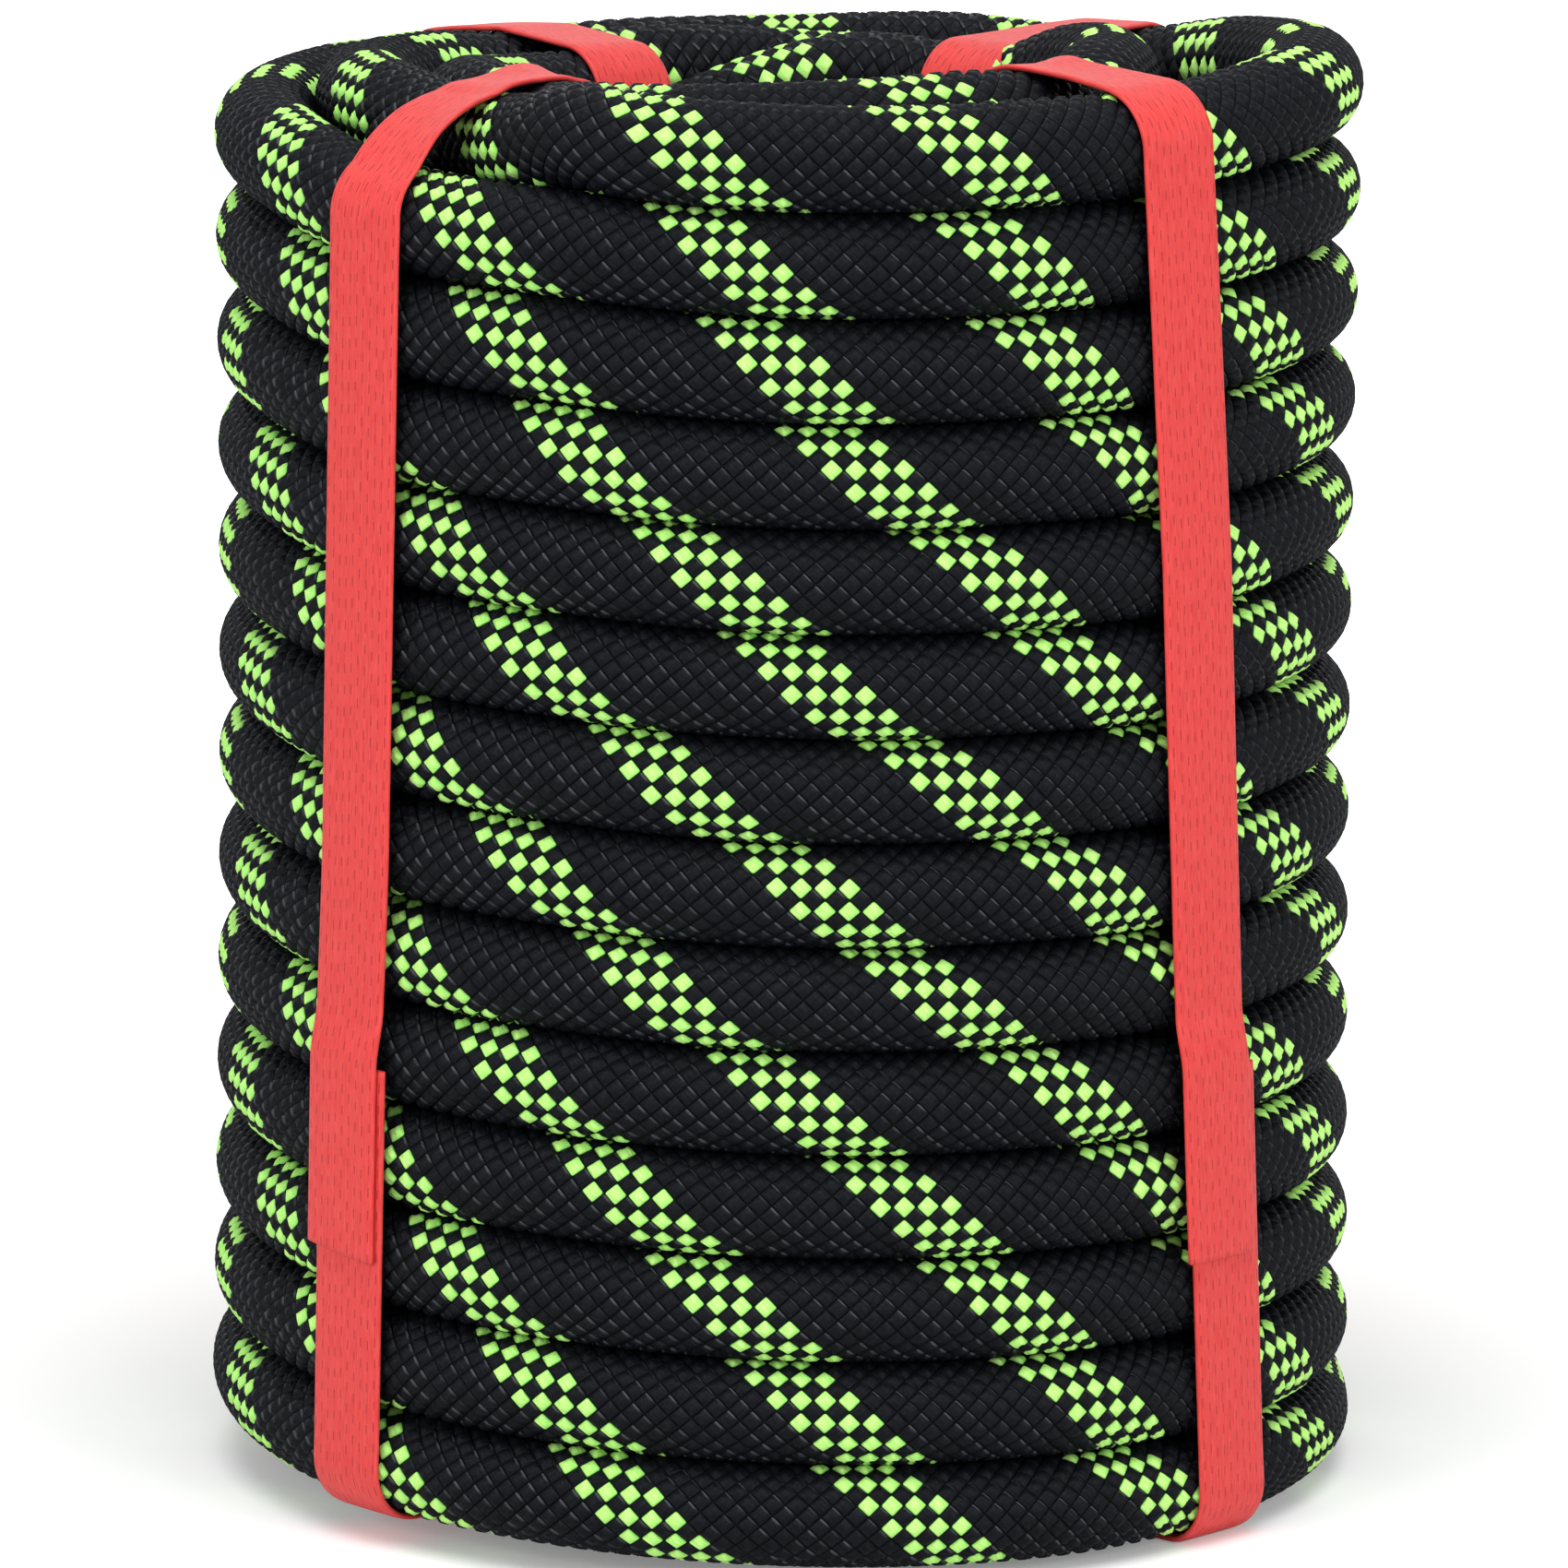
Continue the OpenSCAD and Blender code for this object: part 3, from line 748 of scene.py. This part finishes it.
def strap_mesh(name, azimuth, lean, slip, drift_from, slant, give):
    """A strip that starts under the lap, goes down, up through the middle and back over its
    start. Its section is a flat oval that turns with the strands under its edges. Its upper
    end steps out over the lower one, slips aside from it, and may be cut at a slant."""
    length_at, outline, way, edges = strap_route(azimuth, lean, give)
    total = length_at[-1]
    outside = (way[:, 0] > 0) & (outline[:, 1] > lap_low - 5) & (outline[:, 1] < lap_high + 5)
    start = np.interp(-lap_high, -outline[outside, 1], length_at[outside])
    stop = np.interp(-lap_low, -outline[outside, 1], length_at[outside]) + total
    count = int((stop - start) / 0.6)
    s = np.linspace(start, stop, count)
    wrapped = np.mod(s, total)
    point = np.stack([np.interp(wrapped, length_at, outline[:, k]) for k in (0, 1)], axis=-1)
    face = np.stack([np.interp(wrapped, length_at, way[:, k]) for k in (0, 1)], axis=-1)
    face /= np.linalg.norm(face, axis=1)[:, None]
    left, right = [np.interp(wrapped, length_at, edges[:, k])[:, None] for k in (0, 1)]
    lift = (strap_t + 0.04) * ease((s - (start + total - step_len)) / step_len)
    drift = slip * ease((s - start - total * drift_from) / (total * (1 - drift_from)))
    turn = np.linspace(0, 2 * np.pi, 24, endpoint=False)
    wide = strap_w / 2 * np.sign(np.cos(turn)) * np.abs(np.cos(turn)) ** 0.25
    thick = strap_t / 2 * (1 + np.sign(np.sin(turn)) * np.abs(np.sin(turn)) ** 0.6)
    shift = lean * (point[:, 1] - coil_h / 2) + drift - slip / 2
    x = 2 * wide / strap_w
    thick = thick + left * x * (x - 1) / 2 + right * x * (x + 1) / 2
    r = point[:, 0, None] + face[:, 0, None] * (lift[:, None] + thick)
    z = point[:, 1, None] + face[:, 1, None] * (lift[:, None] + thick)
    cut = slant * np.clip((s - (stop - 8)) / 8, 0, 1)
    z = z - cut[:, None] * wide / strap_w
    side = shift[:, None] + wide
    az = np.radians(azimuth)
    points = np.stack([r * np.sin(az) + side * np.cos(az), -r * np.cos(az) + side * np.sin(az), z], axis=-1)
    rings, columns = points.shape[:2]
    ring, column = np.meshgrid(np.arange(rings - 1), np.arange(columns), indexing="ij")
    after = (column + 1) % columns
    here, ahead = ring * columns, (ring + 1) * columns
    quads = np.stack([here + column, ahead + column, ahead + after, here + after], -1)
    ends = [list(range(columns)), list(range(rings * columns - 1, (rings - 1) * columns - 1, -1))]
    faces = quads.reshape(-1, 4).tolist() + ends
    mesh = bpy.data.meshes.new(name)
    mesh.from_pydata((points.reshape(-1, 3) * mm).tolist(), [], faces)
    mesh.polygons.foreach_set("use_smooth", np.array([True] * (len(faces) - 2) + [False] * 2))
    uv_of = np.stack(np.broadcast_arrays(wide[None, :], s[:, None]), axis=-1).reshape(-1, 2)
    loop_vertex = np.zeros(len(mesh.loops), int)
    mesh.loops.foreach_get("vertex_index", loop_vertex)
    mesh.uv_layers.new(name="tape").data.foreach_set("uv", uv_of[loop_vertex].ravel())
    return mesh


def strap_material():
    """Coral red tape with fine lengthwise ribs and short pressed dashes between them."""
    material, tree, shader = fresh_material("red_tape")
    uv = tree.nodes.new("ShaderNodeUVMap")
    uv.uv_map = "tape"
    parts = tree.nodes.new("ShaderNodeSeparateXYZ")
    tree.links.new(uv.outputs[0], parts.inputs[0])
    rib = wire(tree, "MULTIPLY", parts.outputs[0], 1 / 0.95)
    rib_whole = wire(tree, "FLOOR", rib)
    off_rib = wire(tree, "ABSOLUTE", wire(tree, "SUBTRACT", wire(tree, "FRACT", rib), 0.5))
    stagger = tree.nodes.new("ShaderNodeTexWhiteNoise")
    stagger.noise_dimensions = "1D"
    tree.links.new(rib_whole, stagger.inputs["W"])
    beat = wire(tree, "ADD", wire(tree, "MULTIPLY", parts.outputs[1], 1 / 2.1), stagger.outputs["Value"])
    on_beat = wire(tree, "LESS_THAN", wire(tree, "FRACT", beat), 0.42)
    thin = wire(tree, "LESS_THAN", off_rib, 0.07)
    dash = wire(tree, "MULTIPLY", on_beat, thin)
    stretched = tree.nodes.new("ShaderNodeCombineXYZ")
    tree.links.new(wire(tree, "MULTIPLY", parts.outputs[0], 6.0), stretched.inputs[0])
    tree.links.new(wire(tree, "MULTIPLY", parts.outputs[1], 0.35), stretched.inputs[1])
    grain = tree.nodes.new("ShaderNodeTexNoise")
    grain.inputs["Scale"].default_value = 1.0
    grain.inputs["Detail"].default_value = 4.0
    tree.links.new(stretched.outputs[0], grain.inputs["Vector"])
    streaks = smooth_step(tree, grain.outputs["Fac"], 0.3, 0.7)
    red = blend_colours(tree, streaks, (0.66, 0.040, 0.038, 1), (0.77, 0.070, 0.065, 1))
    red = blend_colours(tree, wire(tree, "MULTIPLY", dash, 0.7), red, (0.34, 0.012, 0.014, 1))
    tree.links.new(red, shader.inputs["Base Color"])
    shader.inputs["Roughness"].default_value = 0.42
    shader.inputs["Specular IOR Level"].default_value = 0.25
    height = wire(tree, "SUBTRACT", grain.outputs["Fac"], wire(tree, "MULTIPLY", dash, 0.8))
    bump = tree.nodes.new("ShaderNodeBump")
    bump.inputs["Strength"].default_value = 0.7
    bump.inputs["Distance"].default_value = 0.00015
    tree.links.new(height, bump.inputs["Height"])
    tree.links.new(bump.outputs[0], shader.inputs["Normal"])
    return material


red_tape = strap_material()
# Each row: the strap, its azimuth in degrees, its lean, how far its upper end slips aside and
# from what share of its length on, the slant of its cut, and how far its edges give.
straps = [
    ("strap_front_left", -46.6, 0.0185, -0.5, 0.93, 1.0, 2.5),
    ("strap_front_right", 46.4, -0.0485, -1.4, 0.2, 0.2, 2.5),
    ("strap_back_left", -141, 0.0, 0.4, 0.2, -0.8, 0.3),
    ("strap_back_right", 140, 0.0, 0.3, 0.2, 0.6, 0.3),
]
for node, *bends in straps:
    piece = put(f"{node}_tape", strap_mesh(node, *bends), red_tape)
    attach(piece, "root")
    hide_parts(node)


# ---- Studio light --------------------------------------------------------------------------
# One wide soft light above and in front, a weaker one on each side, and an even pale room.
world = bpy.data.worlds.new("room")
bpy.context.scene.world = world
world.use_nodes = True
room = world.node_tree.nodes["Background"]
room.inputs["Color"].default_value = (1, 1, 1, 1)
rays = world.node_tree.nodes.new("ShaderNodeLightPath")
room_level = world.node_tree.nodes.new("ShaderNodeMapRange")
room_level.inputs["To Min"].default_value = 0.45
room_level.inputs["To Max"].default_value = 1.0
direct = wire(world.node_tree, "MAXIMUM", rays.outputs["Is Camera Ray"], rays.outputs["Is Transmission Ray"])
direct = wire(world.node_tree, "MAXIMUM", direct, rays.outputs["Is Glossy Ray"])
world.node_tree.links.new(direct, room_level.inputs["Value"])
world.node_tree.links.new(room_level.outputs[0], room.inputs["Strength"])


def soft_light(name, place, aim, size, watts):
    """A square area light at a place, turned towards a point."""
    data = bpy.data.lights.new(name, "AREA")
    data.size = size
    data.energy = watts
    lamp = bpy.data.objects.new(name, data)
    lamp.location = place
    away = np.array(place, float) - np.array(aim, float)
    flat_away = np.hypot(away[0], away[1])
    lamp.rotation_euler = (np.arctan2(flat_away, away[2]), 0, np.arctan2(away[1], away[0]) + np.pi / 2)
    bpy.context.scene.collection.objects.link(lamp)


coil_middle = (0, 0, 0.07)
soft_light("light_above", (0, -0.35, 1.1), coil_middle, 0.9, 9)
soft_light("light_left", (-0.9, -0.9, 0.5), coil_middle, 0.6, 5)
soft_light("light_right", (0.9, -0.9, 0.5), coil_middle, 0.6, 5)
